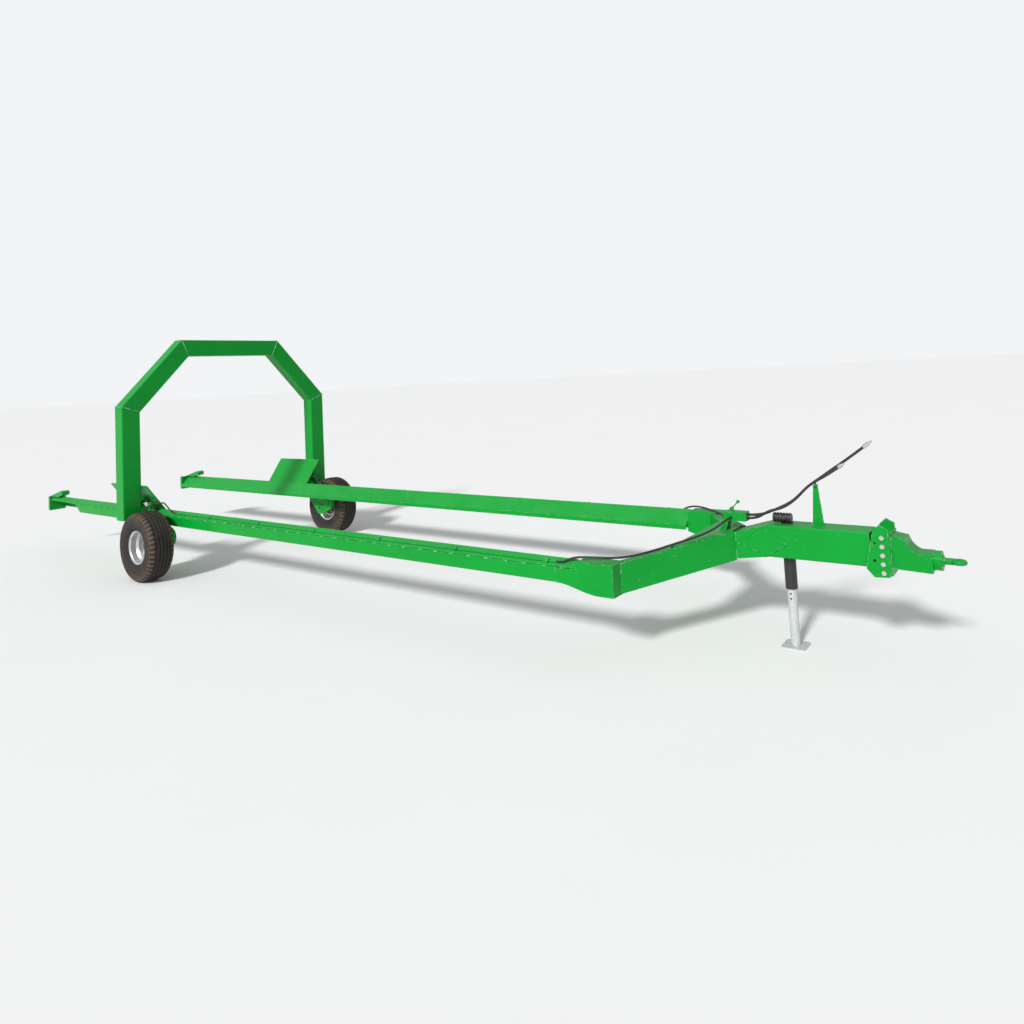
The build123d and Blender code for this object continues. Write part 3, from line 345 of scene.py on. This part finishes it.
# %% A finish from its function
def finish(name, build):
    """A new material: build gets a wire and a place, and returns the values for the shader."""
    material = bpy.data.materials.new(name)
    material.use_nodes = True
    tree = material.node_tree
    shader = tree.nodes["Principled BSDF"]
    wire = Wire(tree, None)
    place = wire.make("ShaderNodeTexCoord", None, None, "Object")
    for key, value in build(wire, place).items():
        if key == "Height":
            pattern, strength, depth = value
            inputs = {"Strength": strength, "Distance": depth, "Height": pattern}
            bump = wire.make("ShaderNodeBump", None, inputs)
            tree.links.new(bump.socket, shader.inputs["Normal"])
        elif isinstance(value, Wire):
            tree.links.new(value.socket, shader.inputs[key])
        else:
            shader.inputs[key].default_value = value
    print("finish", name, "has", len(tree.nodes), "nodes")
    return material


print("finish() makes a material and says how many nodes it has")

# %% [markdown]
# The steelwork is bright green machine enamel, sprayed on. Its gloss is uneven, the faces that look up are
# lighter with dust and a painted mint sheen of the sky, and paint has chipped to pale primer and steel along
# edges and in a few long scratches. The scratches are noise stretched along one direction and cut off so high
# that only its peaks are left.

# %% Green enamel
def green_enamel(wire, place):
    cloud = noise(wire, place, 2.2)
    fine = noise(wire, place, 55.0, 6.0)
    base = tint(wire, cloud, (0.001, 0.24, 0.022), (0.002, 0.34, 0.036))
    # Patches on faces that look up turn a lighter mint: part dust, part a painted sheen of the sky.
    dust_and_sheen_patches = ramp(wire, noise(wire, place, 5.0, 8.0), (0.3, 0.25), (0.75, 0.75))
    dust_and_sheen = ramp(wire, facing_up(wire), (0.35, 0), (0.95, 1)) * dust_and_sheen_patches
    dust_and_sheen_tinted = tint(wire, dust_and_sheen * 0.22, base, (0.22, 0.50, 0.27))
    chips = worn_edge(wire, 0.006) * ramp(wire, noise(wire, place, 30.0, 8.0), (0.52, 0), (0.6, 1))
    scratched = wire.make("ShaderNodeMapping", None, {"Vector": place, "Scale": (3.0, 3.0, 55.0)})
    scratches = ramp(wire, noise(wire, scratched, 6.0, 2.0), (0.735, 0), (0.75, 1))
    wear = wire.maths("MAXIMUM", chips, scratches * 0.6)
    return {"Base Color": tint(wire, wear, dust_and_sheen_tinted, (0.50, 0.55, 0.50)),
            "Roughness": 0.24 + fine * 0.18 + dust_and_sheen * 0.2,
            "Coat Weight": 0.10 - wear * 0.08, "Coat Roughness": 0.12, "Specular IOR Level": 0.12,
            "Height": (fine * 0.6 + cloud * 0.4 - wear * 0.8, 0.12, 0.0015)}


green = finish("green_enamel", green_enamel)

# %% [markdown]
# The welds were painted with the frame, but the paint has worn off the beads in patches, where bare metal
# shows. A coarse noise picks the patches and a fine one gives the metal its grain.

# %% Painted weld
def painted_weld(wire, place):
    grain = noise(wire, place, 160.0, 6.0)
    bright = ramp(wire, noise(wire, place, 34.0), (0.45, 0), (0.62, 1))
    return {"Base Color": tint(wire, bright * 0.75, (0.02, 0.34, 0.07), (0.55, 0.66, 0.55)),
            "Roughness": 0.35 + grain * 0.3, "Height": (grain, 0.3, 0.001)}


weld = finish("painted_weld", painted_weld)

# %% [markdown]
# Tyre rubber is nearly black where the tread is scrubbed, and brown with dried soil on the shoulder. Its
# lugs repeat round the wheel, so we work out each point's distance and angle from the axle. Soil is caked
# between the lugs. The lugs are a bump: the ribs round the tread are in the tyre's own shape.

# %% Tyre rubber
wheel_low, wheel_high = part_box("left_tyre")
axle_x, axle_z = (wheel_low[0] + wheel_high[0]) / 2, (wheel_low[2] + wheel_high[2]) / 2
wheel_middle = 1.445
lug_count = 44.0
print("axle at", round(axle_x, 3), round(axle_z, 3), "with", int(lug_count), "lugs on each shoulder")


def tyre_rubber(wire, place):
    x = wire.make("ShaderNodeSeparateXYZ", None, {0: place}, 0) - axle_x
    y = wire.make("ShaderNodeSeparateXYZ", None, {0: place}, 1)
    z = wire.make("ShaderNodeSeparateXYZ", None, {0: place}, 2) - axle_z
    radius = wire.maths("SQRT", x * x + z * z)
    turn = wire.maths("ARCTAN2", z, x)
    across = wire.maths("ABSOLUTE", wire.maths("ABSOLUTE", y) - wheel_middle)
    lugs = ramp(wire, wire.maths("SINE", turn * lug_count) * 0.5 + 0.5, (0.3, 0), (0.45, 1))
    shoulder = ramp(wire, across / 0.2, (0.46, 0), (0.52, 1)) * ramp(wire, radius / 0.5, (0.74, 0), (0.78, 1))
    sidewall_rings = wire.maths("SINE", radius * 260.0) * ramp(wire, radius / 0.5, (0.6, 1), (0.72, 0))
    soil = noise(wire, place, 9.0, 8.0)
    soiled = ramp(wire, soil, (0.35, 0.1), (0.7, 0.9))
    soiled = soiled * ramp(wire, radius / 0.5, (0.55, 0.25), (0.8, 0.8), (0.88, 0.35))
    grain = noise(wire, place, 240.0, 4.0)
    caked = wire.maths("MAXIMUM", soiled * 0.8, (1 - lugs) * shoulder * 0.9)
    return {"Base Color": tint(wire, caked, (0.010, 0.010, 0.010), (0.12, 0.08, 0.05)),
            "Roughness": 0.68 + soil * 0.25,
            "Height": (lugs * shoulder + sidewall_rings * 0.12 + grain * 0.05, 1.0, 0.014)}


tyre = finish("tyre_rubber", tyre_rubber)

# %% [markdown]
# The wheel discs are sprayed silver, dulled by dust in the dish. Fine metal flake in the paint keeps the
# highlight soft, so a very small noise goes into the roughness and the bump.

# %% Silver wheel paint
def silver_paint(wire, place):
    cloud = noise(wire, place, 14.0, 6.0)
    flake = noise(wire, place, 420.0, 2.0)
    grime = ramp(wire, cloud, (0.45, 0), (0.75, 0.7))
    return {"Base Color": tint(wire, grime, (0.62, 0.63, 0.64), (0.30, 0.28, 0.25)),
            "Metallic": 0.75 - grime * 0.5,
            "Roughness": 0.34 + flake * 0.12 + grime * 0.25, "Height": (flake, 0.08, 0.0005)}


silver = finish("silver_wheel_paint", silver_paint)

# %% [markdown]
# Hoses have a satin black cover with faint wrapping marks from the cloth that they are cured in, greyed by
# dust in patches. Two sizes of noise are enough for that.

# %% Hose rubber
def hose_rubber(wire, place):
    patch = noise(wire, place, 12.0, 6.0)
    wrap = noise(wire, place, 320.0, 3.0)
    return {"Base Color": tint(wire, patch, (0.011, 0.011, 0.012), (0.035, 0.034, 0.032)),
            "Roughness": 0.38 + patch * 0.25, "Height": (wrap, 0.25, 0.0006)}


rubber = finish("hose_rubber", hose_rubber)

# %% [markdown]
# The jack's outer tube is black enamel and its leg is hot-dip galvanised. Zinc cools into flat crystals, and
# the cells of a Voronoi pattern look like them.

# %% Jack finishes
def black_enamel(wire, place):
    cloud = noise(wire, place, 10.0, 6.0)
    chips = worn_edge(wire, 0.004) * ramp(wire, noise(wire, place, 60.0), (0.5, 0), (0.58, 1))
    coat = tint(wire, cloud, (0.010, 0.010, 0.011), (0.028, 0.027, 0.026))
    return {"Base Color": tint(wire, chips, coat, (0.32, 0.30, 0.27)), "Roughness": 0.3 + cloud * 0.25,
            "Height": (cloud, 0.15, 0.001)}


def galvanised(wire, place):
    crystals = wire.make("ShaderNodeTexVoronoi", None, {"Vector": place, "Scale": 75.0}, "Distance")
    cloud = noise(wire, place, 8.0, 6.0)
    return {"Base Color": tint(wire, crystals * 0.8 + cloud * 0.3, (0.72, 0.74, 0.75), (0.46, 0.48, 0.49)),
            "Metallic": 0.35, "Roughness": 0.42 + cloud * 0.2, "Height": (crystals, 0.12, 0.0006)}


black = finish("black_enamel", black_enamel)
zinc = finish("galvanised_zinc", galvanised)

# %% [markdown]
# Bolts, nuts, pins and couplers are plated with zinc, a little yellow and rusting in spots. Hubs and axles
# are bare forged steel, and the cylinder rods are hard chrome under a film of oil.

# %% Fastener and running gear finishes
def zinc_plate(wire, place):
    cloud = noise(wire, place, 60.0, 5.0)
    rust = ramp(wire, noise(wire, place, 22.0, 8.0), (0.62, 0), (0.72, 0.6))
    return {"Base Color": tint(wire, rust, (0.66, 0.64, 0.58), (0.20, 0.10, 0.05)),
            "Metallic": 0.9 - rust * 0.6, "Roughness": 0.28 + cloud * 0.25, "Height": (cloud, 0.1, 0.0005)}


def dark_steel(wire, place):
    cloud = noise(wire, place, 18.0, 7.0)
    return {"Base Color": tint(wire, cloud, (0.05, 0.048, 0.045), (0.15, 0.12, 0.09)), "Metallic": 0.6,
            "Roughness": 0.45 + cloud * 0.25, "Height": (cloud, 0.3, 0.001)}


def hard_chrome(wire, place):
    oil = noise(wire, place, 40.0, 5.0)
    return {"Base Color": tint(wire, oil, (0.75, 0.76, 0.78), (0.60, 0.60, 0.60)),
            "Metallic": 1.0, "Roughness": 0.1 + oil * 0.15, "Height": (oil, 0.05, 0.0003)}


plated = finish("zinc_plate", zinc_plate)
forged = finish("dark_forged_steel", dark_steel)
chrome = finish("hard_chrome", hard_chrome)

# %% [markdown]
# Each piece of the frame now takes its finish by its name, without left_ or right_. The steelwork is green
# unless its name is listed here.

# %% Give every piece its finish
chosen = {"tyre": tyre, "rim": silver, "cylinder_rod": chrome, "hub": forged, "stub_axle": forged,
          "jack_outer_tube": black, "jack_head": black, "jack_inner_leg": zinc}
for fastener in ("wheel_nuts", "rod_pin", "hitch_bolts", "hose_couplers", "eye_nut", "pivot_pins"):
    chosen[fastener] = plated
for name, node in nodes.items():
    bare = name.removeprefix("left_").removeprefix("right_")
    node.data.materials.clear()
    node.data.materials.append(chosen.get(bare, rubber if bare.endswith("hose") else green))
for piece in hoses:
    piece.data.materials.append(rubber)
for piece in (stitch_welds, arch_welds):
    piece.data.materials.append(weld)
print("finished", len(nodes), "pieces")

# %% [markdown]
# The machine stands on a plain pale floor. It is large, so that its edge lies on the horizon.

# %% Floor
floor_half = 400
floor_mesh = bpy.data.meshes.new("floor")
corners = [(x * floor_half, y * floor_half, 0) for x, y in ((-1, -1), (1, -1), (1, 1), (-1, 1))]
floor_mesh.from_pydata(corners, [], [(0, 1, 2, 3)])
floor = bpy.data.objects.new("floor", floor_mesh)
bpy.context.scene.collection.objects.link(floor)


def pale_floor(wire, place):
    cloud = noise(wire, place, 0.6, 5.0)
    return {"Base Color": tint(wire, cloud, (0.86, 0.86, 0.86), (0.89, 0.89, 0.89)), "Roughness": 0.9}


floor.data.materials.append(finish("pale_floor", pale_floor))

# %% [markdown]
# One soft sun from the near side and a pale sky are enough: they show the paint, and the shadow falls softly
# behind the machine. The sky is seen at nearly full brightness but lights the scene at half of that, which
# keeps the green deep and the backdrop pale. The plain Standard view keeps paint as saturated as it is.

# %% Light
sky_light, sky_seen = 0.47, 0.92
world = bpy.data.worlds.new("sky")
world.use_nodes = True
sky = Wire(world.node_tree, None)
seen = sky.make("ShaderNodeLightPath")
background = world.node_tree.nodes["Background"]
background.inputs["Color"].default_value = (0.97, 0.98, 1.0, 1)
world.node_tree.links.new((seen * (sky_seen - sky_light) + sky_light).socket, background.inputs["Strength"])
bpy.context.scene.world = world
sun = bpy.data.lights.new("sun", "SUN")
sun.energy, sun.angle = 3.1, math.radians(8)
sun_object = bpy.data.objects.new("sun", sun)
bpy.context.scene.collection.objects.link(sun_object)
towards_sun = Vector((0.10, -0.85, 0.60))
sun_object.rotation_euler = towards_sun.to_track_quat("Z", "Y").to_euler()
bpy.context.scene.view_settings.view_transform = "Standard"
print("sun of strength", round(sun.energy, 1), "and sky that lights at", sky_light)
